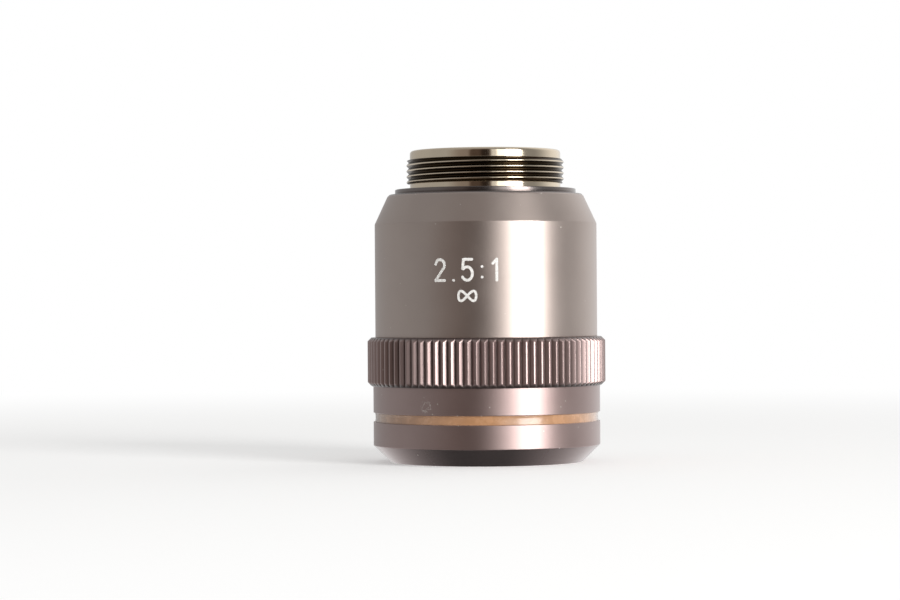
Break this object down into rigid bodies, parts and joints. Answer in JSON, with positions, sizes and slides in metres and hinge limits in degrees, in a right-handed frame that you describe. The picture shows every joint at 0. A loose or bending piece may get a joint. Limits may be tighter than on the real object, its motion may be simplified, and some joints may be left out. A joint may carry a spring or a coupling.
{
  "type": "microscope objective",
  "caption": "Low-power microscope objective: bronze barrel with a screw mount, a straight-knurled grip, a brown colour band and a bevelled nose around the front lens.",
  "frame": {"origin": "centre of the seating face that meets the nosepiece", "axes": "+Z along the optical axis, towards the screw thread; the nose points down"},
  "size_m": [0.03, 0.03, 0.0392],
  "materials": {
    "thread_brass": "gloss",
    "grey_bronze": "satin",
    "red_bronze": "satin",
    "enamel": "gloss",
    "black_brass": "matte",
    "optical_glass": "polished"
  },
  "bodies": {
    "root": {"mount_tube": "thread_brass", "upper_barrel": "grey_bronze", "front_barrel": "red_bronze", "colour_band": "enamel", "parfocal_shim": "thread_brass", "lock_ring": "black_brass", "front_retaining_ring": "black_brass", "front_cell": "black_brass", "front_lens": "optical_glass", "negative_cell": "black_brass", "negative_doublet_front": "optical_glass", "negative_doublet_rear": "optical_glass", "spacer_tube": "black_brass", "aperture_stop": "black_brass", "positive_cell": "black_brass", "positive_doublet_front": "optical_glass", "positive_doublet_rear": "optical_glass", "rear_spacer": "black_brass", "rear_cell": "black_brass", "rear_lens": "optical_glass", "rear_retaining_ring": "black_brass"}
  },
  "joints": []
}
